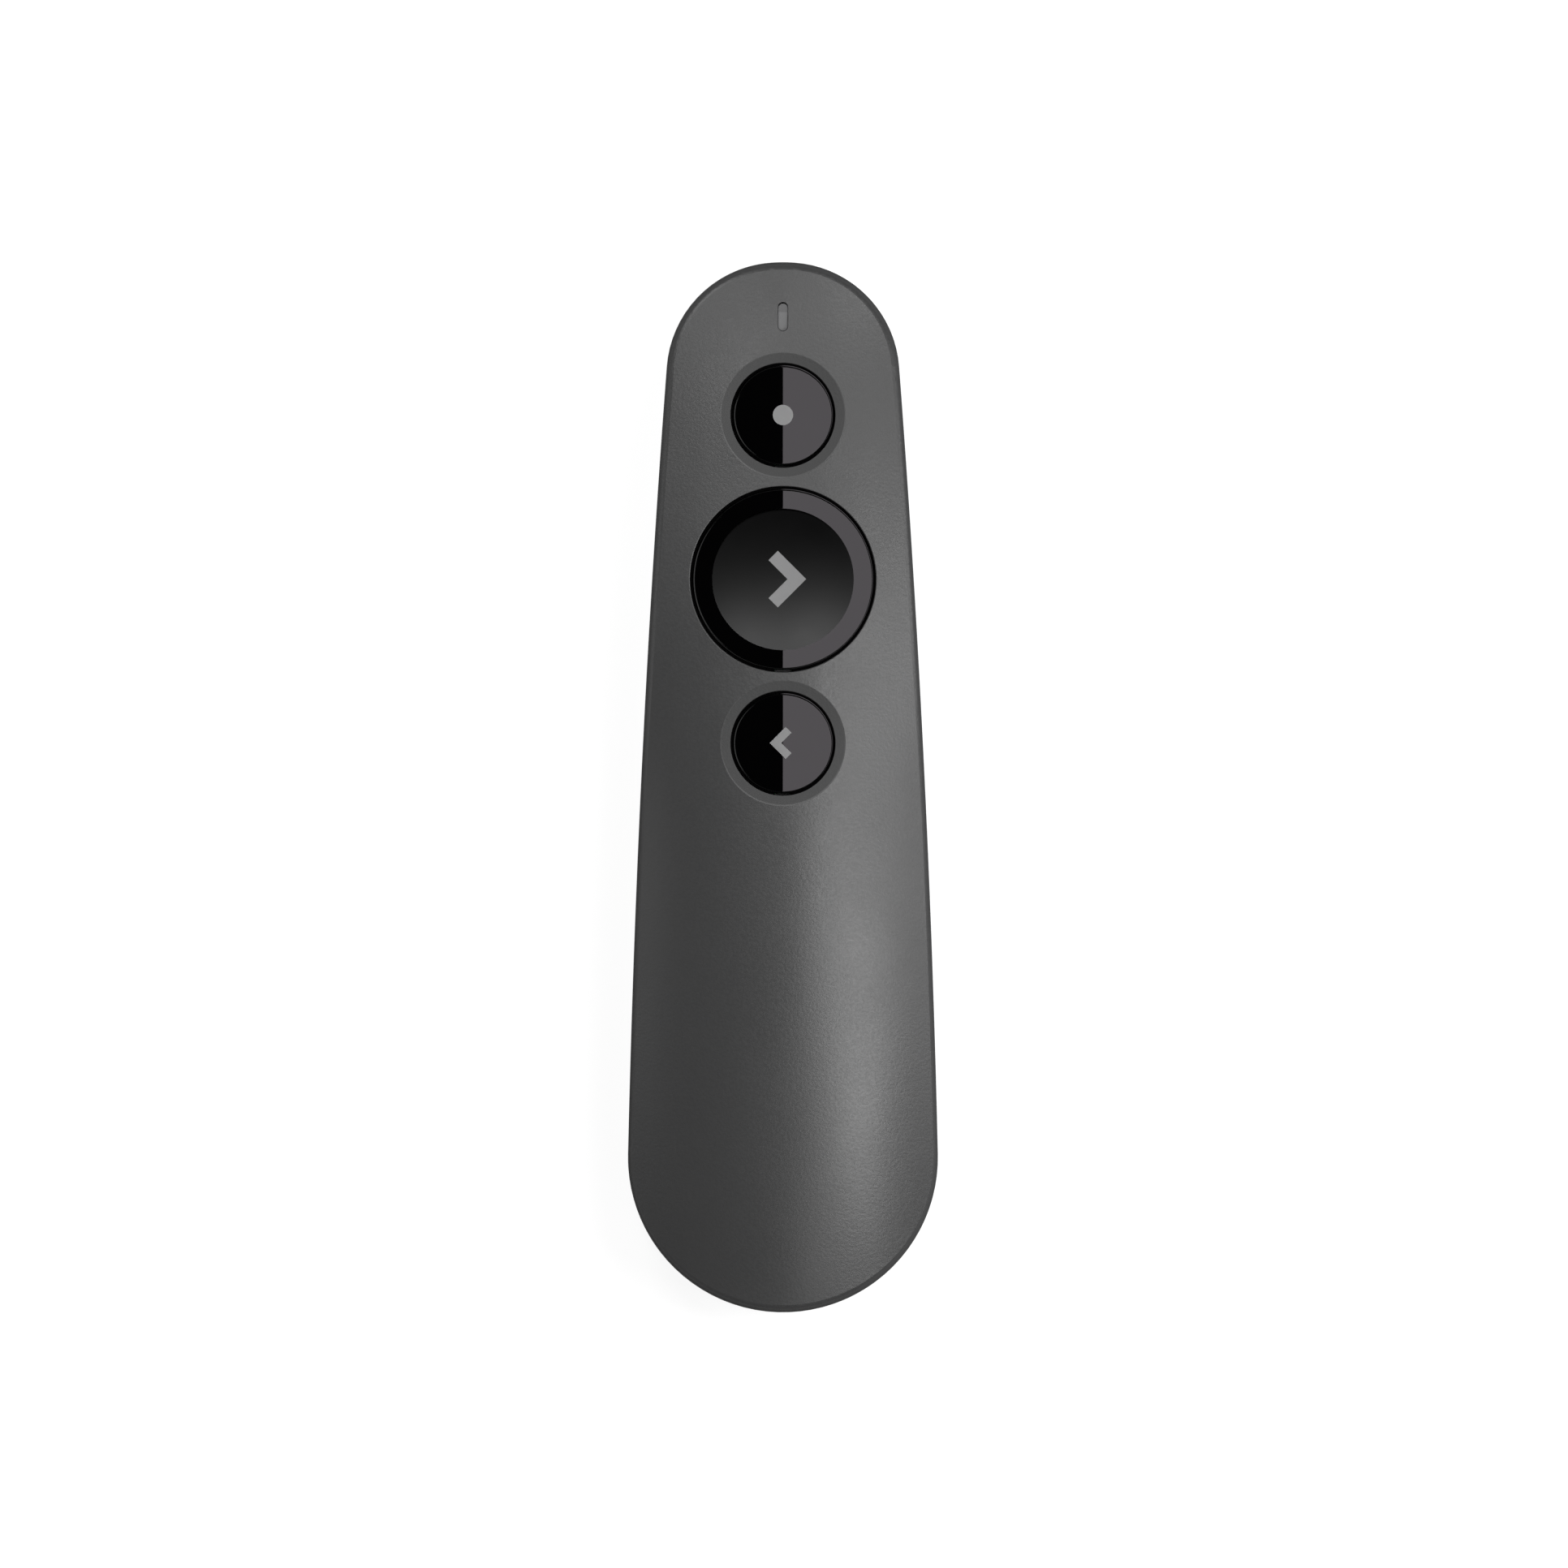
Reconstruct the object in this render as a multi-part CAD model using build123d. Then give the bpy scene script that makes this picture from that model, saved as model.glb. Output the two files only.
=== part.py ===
from build123d import *
import os
from math import atan, cos, pi, sin, sqrt

# A hand-held wireless presentation clicker: a long moulded case, wide at the tail, with three round
# press buttons on its top, a laser pointer in its nose, two AAA cells behind a flip-out door in its
# underside and a small USB receiver that docks in its tail.
# Millimetres. X is to the right, Y runs to the nose and Z is up, with the case lying on its back.
# The origin is on the flat of the underside, below the middle of the length.

# ---- Plan outline ----
length = 131.3
tail_radius = 19.38
nose_radius = 21.5
shoulder_radius = 14.1
shoulder_offset = 0.47
side_radius = 1850.0

# ---- Top and underside of the case ----
total_height = 26.8
spine_radius = 1000.0
tail_roll_drop = 2.2
nose_roll_drop = 1.2
crest_behind_button = 6.0
tail_roll_start = 13.5
nose_roll_start = 10.0
head_crown_radius = 90.0
tail_crown_radius = 38.0
crown_blend_start = 14.0
crown_blend_end = 19.5
top_edge_radius = 1.1
bottom_edge_radius = 4.5
head_thickness = 17.6

# ---- Places along the case: the nose's pieces are measured from the nose ----
nose_y = length / 2
laser_button_y = nose_y - 19.15
button_spacing = 20.5
next_button_y = laser_button_y - button_spacing
back_button_y = next_button_y - button_spacing
led_y = nose_y - 6.8
barrel_nose_y = nose_y - 3.85
scoop_end_y = nose_y - 13.65

# ---- Shells ----
wall = 1.8
board_to_crest = 8.9
board_to_parting = 1.4
board_z = total_height - board_to_crest
parting_z = board_z - board_to_parting
seam_gap = 0.12
lip_depth = 1.2
lip_clearance = 0.08
touch_gap = 0.05

# ---- Buttons ----
small_button_radius = 6.17
next_button_radius = 11.22
button_gap = 0.4
button_bevel = 0.2
guide_depth = 2.8
flange_overhang = 0.7
flange_thickness = 0.8
flange_clearance = 0.2
collar_wall = 1.0
button_travel = 0.5
cap_skin = 1.3
cap_wall = 1.1
post_radius = 1.5
key_width = 2.0
key_clearance = 0.12
countersink_width = 1.3
countersink_drop = 0.22
face_drop = 0.07
rim_round = 0.12
dish_radius = 8.88
dish_depth = 0.9
dish_rim = 0.2
pad_seat_depth = 2.2
pad_clearance = 0.03

# ---- Main board and what it carries ----
board_thickness = 1.0
board_margin = 1.4
board_overrun = 27.5
board_tail_y = back_button_y - board_overrun
switch_size = 6.0
switch_height = 2.7
cover_thickness = 0.3
plunger_radius = 1.7
plunger_clearance = 0.06
plunger_reach = 1.2
plunger_stand = 0.6
board_screw_x = 10.4
board_screw_ahead = 11.0
board_screw_behind = 19.5
board_screw_spots = [
    (board_screw_x, next_button_y + board_screw_ahead),
    (board_screw_x, back_button_y - board_screw_behind),
]
chip_behind = 11.5
coil_ahead = 5.5
antenna_ahead = 3.0

# ---- Indicator light ----
led_slot_length = 3.65
led_slot_width = 1.3
led_height = 0.6
pipe_clearance = 0.05
pipe_nose_gap = 0.22
pipe_recess = 0.35
pipe_flange = 0.7
pipe_flange_thickness = 1.0

# ---- Laser module ----
barrel_radius = 3.0
barrel_floor_gap = 0.2
barrel_bore = 2.2
barrel_length = 12.0
lens_thickness = 1.2
lens_curve = 6.0
diode_length = 3.4
laser_board_thickness = 0.8
lead_radius = 0.3
lead_bend = 1.8
window_radius = 1.9
window_thickness = 0.8
window_step = 0.6
aperture_radius = 1.5
fit_clearance = 0.05

# ---- Cells, contacts and battery bay ----
cell_radius = 5.25
cell_length = 44.5
nub_radius = 1.9
nub_height = 0.8
cell_gap = 0.5
cell_clearance = 0.15
cell_lift = 0.3
bay_wall = 1.2
dock_to_bay = 1.6
contact_thickness = 0.4
contact_width = 8.0
contact_height = 8.0
dimple_radius = 1.5
dimple_height = 0.6
strip_width = 2.0
spring_length = 4.9
spring_wire = 0.3
spring_start_radius = 3.2
spring_end_radius = 1.8
spring_half_turns = 7

# ---- Battery door and its latch ----
door_nose_margin = 0.6
door_tail_margin = 1.6
door_tail_overrun = 4.65
latch_bay = 6.4
door_corner = 3.0
door_clearance = 0.12
ledge_width = 2.0
ledge_thickness = 1.2
lug_width = 4.0
lug_reach = 1.5
lug_x = 5.0
latch_width = 8.0
latch_length = 3.3
latch_travel = 0.9
latch_flange = 1.0
latch_flange_thickness = 0.8
hook_reach = 0.7
rail_wall = 0.9
grip_groove = 0.4

# ---- Receiver ----
plug_width = 12.0
plug_height = 4.5
plug_length = 12.0
plug_skin = 0.3
plug_board_thickness = 0.8
head_width = 14.4
head_height = 6.1
head_length = 7.0
head_recess = 1.45
head_round = 0.8
dock_z = 8.6
dock_clearance = 0.15
dock_wall = 1.2

# ---- Screws ----
case_screw_seat_z = 9.0
case_screw_tip_gap = 5.8
board_screw_length = 4.5
screw_radius = 1.0
screw_head_radius = 1.75
screw_head_height = 1.2
screw_clearance = 0.1
boss_wall = 1.4

# ---- What follows from the sizes above ----
head_lift = total_height - head_thickness
laser_z = head_lift + wall + barrel_floor_gap + barrel_radius
board_top_z = board_z + board_thickness
switch_top_z = board_top_z + switch_height + cover_thickness
plunger_top_z = switch_top_z + plunger_stand
cell_x = cell_gap / 2 + cell_radius
cell_z = wall + cell_lift + cell_radius
bay_half_width = 2 * cell_radius + cell_gap / 2 + cell_clearance
bay_top_z = cell_z + cell_radius + cell_clearance
bay_length = cell_length + spring_length + dimple_height + 2 * contact_thickness + 5 * touch_gap
head_end_y = head_recess - nose_y
plug_end_y = head_end_y + head_length + plug_length
bay_tail_y = plug_end_y + dock_clearance + dock_to_bay
bay_nose_y = bay_tail_y + bay_length
door_nose_y = bay_nose_y + latch_bay
door_tail_y = tail_radius - nose_y - door_tail_overrun
door_nose_half = bay_half_width + door_nose_margin
door_tail_half = bay_half_width + door_tail_margin
flat_end_y = door_nose_y + 0.5
scoop_run = scoop_end_y - flat_end_y
lug_z = wall + touch_gap
boss_radius = screw_radius + screw_clearance + boss_wall
well_radius = screw_head_radius + screw_clearance
case_screw_length = total_height - case_screw_tip_gap - case_screw_seat_z
case_screw_join_z = parting_z - 2.5
case_screw_spots = [
    (door_nose_half - 2.5, bay_nose_y + 3.6),
    (door_tail_half - 1.5, door_tail_y + 3.8),
]
BUTTONS = {
    "laser": (laser_button_y, small_button_radius, countersink_drop),
    "next": (next_button_y, next_button_radius, 0.0),
    "back": (back_button_y, small_button_radius, countersink_drop),
}

far = 80.0  # larger than any half size of the case, for blocks that only cut


# ---------------------------------------------------------------- helpers
def rod(radius, low, high, x=0.0, y=0.0):
    """An upright round bar from z = low to z = high."""
    return Pos(x, y, (low + high) / 2) * Cylinder(radius, high - low)


def rod_along_y(radius, low, high, x=0.0, z=0.0):
    """A round bar that lies along Y from y = low to y = high."""
    return Pos(x, (low + high) / 2, z) * Rot(90, 0, 0) * Cylinder(radius, high - low)


def block(x, y, z):
    """A box given by its (low, high) span on each axis."""
    size = (x[1] - x[0], y[1] - y[0], z[1] - z[0])
    return Pos(sum(x) / 2, sum(y) / 2, sum(z) / 2) * Box(*size)


def both_sides(x, y):
    """The pair of points left and right of the middle plane."""
    return [(-x, y), (x, y)]


# ---------------------------------------------------------------- the form of the case
def smooth(share):
    share = min(1.0, max(0.0, share))
    return share**3 * (10 - 15 * share + 6 * share**2)


def crest_z(y):
    """Height of the top's middle line: a long bow that rolls off at the tail and at the nose."""
    bow = (y - next_button_y + crest_behind_button) ** 2 / (2 * spine_radius)
    tail_start = back_button_y - tail_roll_start
    nose_start = next_button_y + nose_roll_start
    tail_share = max(0.0, (tail_start - y) / (tail_start + nose_y))
    nose_share = max(0.0, (y - nose_start) / (nose_y - nose_start))
    return total_height - bow - tail_roll_drop * tail_share**3 - nose_roll_drop * nose_share**3


def crown_radius(y):
    """Radius of the top's arc from side to side: flatter round the buttons, rounder at the grip."""
    start, end = next_button_y + crown_blend_start, back_button_y - crown_blend_end
    share = smooth((start - y) / (start - end))
    return 1 / (1 / head_crown_radius * (1 - share) + 1 / tail_crown_radius * share)


def crown_drop(x, y):
    radius = crown_radius(y)
    return radius - sqrt(radius**2 - x**2)


def outline(inset=0.0):
    """The plan outline, moved inwards by inset: a round tail, bowed sides and a three-arc nose."""
    tail = Vector(0, tail_radius - nose_y)
    nose = Vector(0, nose_y - nose_radius)
    lift = sqrt((nose_radius - shoulder_radius) ** 2 - shoulder_offset**2)
    shoulder = Vector(shoulder_offset, nose.Y + lift)
    # The centre of the right side's long arc touches both the tail's and the shoulder's circles.
    span = shoulder - tail
    from_tail = side_radius - tail_radius
    from_shoulder = side_radius - shoulder_radius
    along = (span.length**2 + from_tail**2 - from_shoulder**2) / (2 * span.length)
    across = sqrt(from_tail**2 - along**2)
    unit = span.normalized()
    side = tail + unit * along + Vector(-unit.Y, unit.X) * across

    tail_end = tail + (tail - side).normalized() * (tail_radius - inset)
    side_end = shoulder + (shoulder - side).normalized() * (shoulder_radius - inset)
    nose_end = nose + (shoulder - nose).normalized() * (nose_radius - inset)
    side_middle = side + (tail_end + side_end - side * 2).normalized() * (side_radius - inset)
    shoulder_middle = shoulder + (side_end + nose_end - shoulder * 2).normalized() * (
        shoulder_radius - inset
    )

    def left(point):
        return Vector(-point.X, point.Y)

    right_side = [
        ThreePointArc(tail_end, side_middle, side_end),
        ThreePointArc(side_end, shoulder_middle, nose_end),
    ]
    left_side = [
        ThreePointArc(left(nose_end), left(shoulder_middle), left(side_end)),
        ThreePointArc(left(side_end), left(side_middle), left(tail_end)),
    ]
    nose_arc = ThreePointArc(nose_end, (0, nose_y - inset), left(nose_end))
    tail_arc = ThreePointArc(left(tail_end), (0, inset - nose_y), tail_end)
    return make_face([*right_side, nose_arc, *left_side, tail_arc])


def prism(face, low, high):
    return Pos(0, 0, low) * extrude(face, high - low)


def crown_block(inset):
    """Everything under the crowned top surface, moved down by inset."""
    half = tail_radius + 6
    stations = 17
    step = (length + 16) / (stations - 1)
    sections = []
    for i in range(stations):
        y = i * step - nose_y - 8
        radius = crown_radius(y) - inset
        top = crest_z(y) - inset
        edge = top - (radius - sqrt(radius**2 - half**2))
        arc = ThreePointArc((-half, y, edge), (0, y, top), (half, y, edge))
        sides = Polyline((half, y, edge), (half, y, -10), (-half, y, -10), (-half, y, edge))
        sections.append(make_face([*arc.edges(), *sides.edges()]))
    return loft(sections)


def underside_block(inset):
    """Everything over the underside, moved up by inset: flat, then an S-curve up to the head."""
    turn = 2 * atan(head_lift / scoop_run)
    radius = scoop_run / (2 * sin(turn))
    lower = Vector(0, flat_end_y, radius)
    upper = Vector(0, flat_end_y + scoop_run, head_lift - radius)

    def on(centre, reach, angle):
        return centre + Vector(0, reach * sin(angle), -reach * cos(angle))

    start = on(lower, radius - inset, 0)
    bend = on(lower, radius - inset, turn)
    end = on(upper, -(radius + inset), 0)
    path = [
        Line((0, -far, inset), start),
        ThreePointArc(start, on(lower, radius - inset, turn / 2), bend),
        ThreePointArc(bend, on(upper, -(radius + inset), turn / 2), end),
        Polyline(end, (0, far, end.Z), (0, far, far), (0, -far, far), (0, -far, inset)),
    ]
    face = make_face([edge for part in path for edge in part.edges()])
    return Pos(-far / 2, 0, 0) * extrude(face, far, dir=(1, 0, 0))


def case_form(inset=0.0):
    """The solid form of the case, with all its surfaces moved inwards by inset."""
    body = prism(outline(inset), -5, 60) & crown_block(inset) & underside_block(inset)
    rim = body.faces().sort_by(Axis.Z)[-1].edges()
    body = fillet(rim, max(0.3, top_edge_radius - inset))
    keel = [
        edge
        for edge in body.edges()
        if edge.center().Z < parting_z - 1 and edge.geom_type != GeomType.LINE
    ]
    return fillet(keel, max(0.3, bottom_edge_radius - inset))


# ---------------------------------------------------------------- shared places and cutters
def guide_z(name):
    """Height of the top of a button's flange at rest."""
    y, radius, drop = BUTTONS[name]
    return crest_z(y) - drop - face_drop - guide_depth


def mirrored(spots):
    return [point for x, y in spots for point in both_sides(x, y)]


def door_outline(grow=0.0):
    """The door's plan, a little wider at the tail, with rounded corners; grown by grow all round."""
    tail, nose = door_tail_half + grow, door_nose_half + grow
    low, high = door_tail_y - grow, door_nose_y + grow
    corners = Polyline((-tail, low), (tail, low), (nose, high), (-nose, high), close=True)
    face = make_face(corners)
    return fillet(face.vertices(), door_corner + grow)


def slot_prism(length_y, width, low, high, y):
    """An upright slot-shaped bar with its long side along Y."""
    return Pos(0, y, low) * extrude(Rot(0, 0, 90) * SlotOverall(length_y, width), high - low)


# ---------------------------------------------------------------- case
def seam_lip(grow=0.0):
    """The inner half of the wall just over the parting plane, where the shells overlap."""
    low, high = parting_z - 0.5, parting_z + lip_depth + grow
    ring = prism(outline(wall / 2 - grow), low, high)
    return ring - prism(outline(wall + grow), low - 1, high + 1)


def key_rib(name, clearance=0.0):
    """The rib on the tail side of a collar that stops its button from turning."""
    y, radius, drop = BUTTONS[name]
    top = guide_z(name)
    half = key_width / 2 + clearance
    outer = radius + button_gap + collar_wall
    inner = radius + key_clearance - clearance
    low = top - flange_thickness - clearance
    return block((-half, half), (y - outer, y - inner), (low, top + 2 * flange_clearance))


def top_shell():
    """The upper half of the case, with the button collars and all the screw bosses."""
    outer = case_form()
    inner = case_form(wall)
    over = block((-far, far), (-far, far), (parting_z + seam_gap, far))
    for name, (y, radius, drop) in BUTTONS.items():
        outer -= rod(radius + button_gap, guide_z(name), far, 0, y)
    for name, (y, radius, drop) in BUTTONS.items():
        round_length = 2 * pi * (radius + button_gap)
        rim = [
            edge
            for edge in outer.edges()
            if abs(edge.center().Y - y) < 0.5
            and edge.center().Z > crest_z(y) - 1.5
            and abs(edge.length - round_length) < 1.0
        ]
        if drop:
            crown = outer.faces().sort_by(Axis.Z)[-1]
            outer = outer.chamfer(countersink_width, drop, rim, crown)
        else:
            outer = outer.fillet(rim_round, rim)

    shell = (outer - inner) & over
    solid = case_form(wall / 2)
    posts = []
    for name, (y, radius, drop) in BUTTONS.items():
        seat = guide_z(name) + flange_clearance
        hole = radius + button_gap
        posts.append(rod(hole + collar_wall, seat, far, 0, y) - rod(hole, 0, far, 0, y))
    for x, y in mirrored(board_screw_spots):
        posts.append(rod(boss_radius, board_top_z + touch_gap, far, x, y))
    for x, y in mirrored(case_screw_spots):
        posts.append(rod(boss_radius, case_screw_join_z + seam_gap, far, x, y))
    for post in posts:
        shell += post & solid
    for name, (y, radius, drop) in BUTTONS.items():
        shell += key_rib(name)
        shell -= rod(radius + button_gap, guide_z(name) + flange_clearance, far, 0, y)

    for x, y in mirrored(board_screw_spots):
        tip = board_z + board_screw_length + screw_clearance
        shell -= rod(screw_radius + screw_clearance, 0, tip, x, y)
    for x, y in mirrored(case_screw_spots):
        tip = case_screw_seat_z + case_screw_length + screw_clearance
        shell -= rod(screw_radius + screw_clearance, 0, tip, x, y)
    shell -= slot_prism(led_slot_length, led_slot_width, board_top_z, far, led_y)
    return shell - seam_lip(lip_clearance)


def dock(grow):
    """The space that the docked receiver takes, grown on all sides by grow."""
    half_plug = plug_width / 2 + grow
    half_head = head_width / 2 + grow
    joint_y = head_end_y + head_length + grow
    plug = block(
        (-half_plug, half_plug),
        (joint_y - 1, plug_end_y + grow),
        (dock_z - plug_height / 2 - grow, dock_z + plug_height / 2 + grow),
    )
    head = block(
        (-half_head, half_head),
        (-far, joint_y),
        (dock_z - head_height / 2 - grow, dock_z + head_height / 2 + grow),
    )
    return plug + head


def bay(grow=0.0):
    """The space for the two cells, open downwards to the door."""
    half = bay_half_width + grow
    return block((-half, half), (bay_tail_y - grow, bay_nose_y + grow), (lug_z, bay_top_z + grow))


def latch_pocket():
    """The room round the latch and its rails, above the door."""
    half = latch_width / 2 + latch_flange + rail_wall + 3 * door_clearance
    high = wall + ledge_thickness + 2.0
    return block((-half, half), (bay_nose_y + bay_wall, door_nose_y + 1.2), (wall, high))


def laser_saddle(y):
    """A rib with a round seat for the laser's barrel."""
    rib = block((-4.2, 4.2), (y - 0.6, y + 0.6), (0, laser_z - 0.4))
    return rib - rod_along_y(barrel_radius + fit_clearance, y - 2, y + 2, 0, laser_z)


def bottom_shell():
    """The lower half of the case, with the battery bay, the receiver dock and the screw wells."""
    outer = case_form()
    inner = case_form(wall)
    under = block((-far, far), (-far, far), (-1, parting_z))
    shell = (outer - inner) & under
    shell += seam_lip()

    solid = case_form(wall / 2)
    shell += prism(door_outline(ledge_width), wall / 2, wall + ledge_thickness)
    shell += bay(bay_wall)
    shell += dock(dock_clearance + dock_wall) & solid
    for behind in (2.3, 8.8):
        shell += laser_saddle(barrel_nose_y - behind) & solid
    for x, y in mirrored(case_screw_spots):
        shell += rod(well_radius + bay_wall, wall / 2, case_screw_join_z, x, y)

    shell -= bay()
    rib_z = (bay_top_z - 1.2, bay_top_z + bay_wall / 2)
    shell += block((-0.75, 0.75), (bay_tail_y - 0.5, bay_nose_y + 0.5), rib_z)
    shell -= prism(door_outline(door_clearance), -1, lug_z)
    shell -= latch_pocket()
    for x in (-lug_x, lug_x):
        shell -= lug_pocket(x)
    for x, y in mirrored(case_screw_spots):
        shell -= rod(well_radius, -1, case_screw_seat_z, x, y)
        shell -= rod(screw_radius + screw_clearance, 0, far, x, y)
    shell -= dock(dock_clearance)
    for x in (-cell_x, cell_x):
        shell -= strip_slot(x)
    seat_y = nose_y - window_step
    shell -= rod_along_y(window_radius + fit_clearance, seat_y - 3, seat_y, 0, laser_z)
    return shell - rod_along_y(aperture_radius, seat_y - 1, far, 0, laser_z)


def strip_slot(x):
    """The slot in the bay's roof for a contact's strip."""
    half = strip_width / 2 + key_clearance
    deep = bay_nose_y - contact_thickness - 2 * key_clearance
    return block((x - half, x + half), (deep, bay_nose_y), (bay_top_z - 1, bay_top_z + 2))


def lug_pocket(x):
    """The room in which a door lug turns while the door swings open."""
    half = lug_width / 2 + 2 * door_clearance
    reach = sqrt(lug_reach**2 + (lug_z + ledge_thickness) ** 2) + 2 * door_clearance
    return block((x - half, x + half), (door_tail_y - lug_reach - 0.5, door_tail_y + reach), (wall, reach))


def battery_door():
    """The flush plate under the cells, with two lugs at the tail and rails for the latch."""
    door = prism(door_outline(), 0, wall)
    for x in (-lug_x, lug_x):
        half = lug_width / 2
        top = lug_z + ledge_thickness - 0.2
        door += block((x - half, x + half), (door_tail_y, door_tail_y + 3), (wall / 2, top))
        door += block((x - half, x + half), (door_tail_y - lug_reach, door_tail_y + 1), (lug_z + 0.05, top))
    channel = latch_width / 2 + latch_flange + door_clearance
    back_y = bay_nose_y + bay_wall + 2 * door_clearance
    lip_z = lug_z + latch_flange_thickness + door_clearance
    for side in (-1, 1):
        near, outer = sorted((side * channel, side * (channel + rail_wall)))
        door += block((near, outer), (back_y, door_nose_y - 0.3), (wall / 2, lip_z + 0.7))
        near, outer = sorted((side * (channel - 0.8), side * (channel + rail_wall)))
        door += block((near, outer), (back_y, door_nose_y - 0.3), (lip_z, lip_z + 0.7))
    half = latch_width / 2 + door_clearance
    tail = door_nose_y - latch_length - latch_travel - 2 * door_clearance
    return door - block((-half, half), (tail, far), (-1, wall))


def door_latch():
    """The sliding catch at the nose end of the door, with a grooved thumb face and a hook."""
    nose = door_nose_y - door_clearance
    tail = nose - latch_length
    half = latch_width / 2
    wide = half + latch_flange
    top = lug_z + latch_flange_thickness
    latch = block((-half, half), (tail, nose), (0, lug_z))
    latch += block((-wide, wide), (tail, nose - 0.3), (lug_z, top))
    latch += block((-3, 3), (tail, door_nose_y + door_clearance + hook_reach), (lug_z, top))
    for i in range(3):
        y = tail + latch_length * (i + 1) / 4
        latch -= Pos(0, y, 0) * Rot(45, 0, 0) * Box(latch_width - 1.4, grip_groove, grip_groove)
    return latch


# ---------------------------------------------------------------- buttons
def face_tool(name):
    """A long cylinder whose top follows the crown of the case at a button, a little below it."""
    y, radius, drop = BUTTONS[name]
    sunk = drop + face_drop
    arc = crown_radius(y) - sunk
    tilt = atan(crest_z(y + 0.5) - crest_z(y - 0.5)) * 180 / pi
    bar = Pos(0, 0, -arc) * Rot(90, 0, 0) * Cylinder(arc, 4 * radius)
    return Pos(0, y, crest_z(y) - sunk) * Rot(tilt, 0, 0) * bar


def button(name):
    """A hollow cap with a retaining flange and a post that presses the switch."""
    y, radius, drop = BUTTONS[name]
    top = guide_z(name)
    low = top - flange_thickness
    cap = rod(radius, low, far, 0, y) & face_tool(name)
    rim = cap.faces().sort_by(Axis.Z)[-1].edges()
    cap = fillet(rim, button_bevel)
    cap += rod(radius + flange_overhang, low, top, 0, y)
    ceiling = top + guide_depth - cap_skin - 0.2
    if name == "next":
        seat = crest_z(y) - pad_seat_depth
        cap -= rod(dish_radius, seat, far, 0, y)
        ceiling = seat - 1.0
    cap -= rod(radius - cap_wall, low - 1, ceiling, 0, y)
    cap += rod(post_radius, plunger_top_z + touch_gap, ceiling + 0.5, 0, y)
    return cap - key_rib(name, key_clearance)


def next_button_pad():
    """The satin dished insert in the middle of the large button."""
    top = crest_z(next_button_y) - crown_drop(dish_radius, next_button_y) - dish_rim
    seat = crest_z(next_button_y) - pad_seat_depth
    ball = (dish_radius**2 + dish_depth**2) / (2 * dish_depth)
    pad = rod(dish_radius - pad_clearance, seat + pad_clearance, top, 0, next_button_y)
    pad -= Pos(0, next_button_y, top - dish_depth + ball) * Sphere(ball)
    return pad


def plunger(name):
    """The switch's own stem, with a collar inside the switch."""
    y, radius, drop = BUTTONS[name]
    bottom = switch_top_z - cover_thickness - plunger_reach
    stem = rod(plunger_radius, bottom, plunger_top_z, 0, y)
    return stem + rod(plunger_radius + 0.4, bottom, bottom + 0.5, 0, y)


def switch(name):
    """The square housing of a tactile switch, with its well and four legs."""
    y, radius, drop = BUTTONS[name]
    half = switch_size / 2
    top = switch_top_z - cover_thickness
    body = block((-half, half), (y - half, y + half), (board_top_z, top))
    room = plunger_reach + button_travel + 0.1
    body -= rod(plunger_radius + 0.4 + plunger_clearance, top - room, top + 1, 0, y)
    for x in (-half - 0.5, half + 0.5):
        for leg_y in (y - 2.25, y + 2.25):
            body += block((x - 0.6, x + 0.6), (leg_y - 0.35, leg_y + 0.35), (board_top_z, board_top_z + 0.3))
    return body


def switch_covers():
    """The sheet covers of the three switches."""
    covers = []
    half = switch_size / 2
    low = switch_top_z - cover_thickness
    for y, radius, drop in BUTTONS.values():
        plate = block((-half, half), (y - half, y + half), (low, switch_top_z))
        covers.append(plate - rod(plunger_radius + plunger_clearance, low - 1, far, 0, y))
    return Compound(children=covers)


# ---------------------------------------------------------------- main board
def main_board():
    """The printed board, screwed up to the bosses of the upper shell."""
    board = prism(outline(wall + board_margin), board_z, board_top_z)
    board &= block((-far, far), (board_tail_y, nose_y - 4.4), (0, far))
    for x, y in mirrored(case_screw_spots):
        board -= rod(boss_radius + 0.3, 0, far, x, y)
    for x, y in mirrored(board_screw_spots):
        board -= rod(screw_radius + screw_clearance, 0, far, x, y)
    return board


def on_board(x, y, size_x, size_y, height):
    """A part soldered to the upper face of the board."""
    spans = ((x - size_x / 2, x + size_x / 2), (y - size_y / 2, y + size_y / 2))
    return block(*spans, (board_top_z, board_top_z + height))


def board_passives():
    """The small resistors and capacitors."""
    spots = [(-6.5 + 1.6 * i, back_button_y - 6.7) for i in range(4)]
    spots += [(1.5 + 1.6 * i, back_button_y - 15.3) for i in range(4)]
    spots += [(1.5 + 1.6 * i, back_button_y - 16.8) for i in range(3)]
    spots += [(3.0, led_y - 3.3), (-3.0, led_y - 3.3), (-3.0, led_y - 1.3)]
    return Compound(children=[on_board(x, y, 1.0, 0.6, 0.5) for x, y in spots])


def boost_inductor():
    """The shielded coil of the supply, a square block with rounded corners."""
    coil = on_board(-5.5, board_tail_y + coil_ahead, 4.0, 4.0, 2.0)
    return fillet(coil.edges().filter_by(Axis.Z), 0.8)


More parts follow.
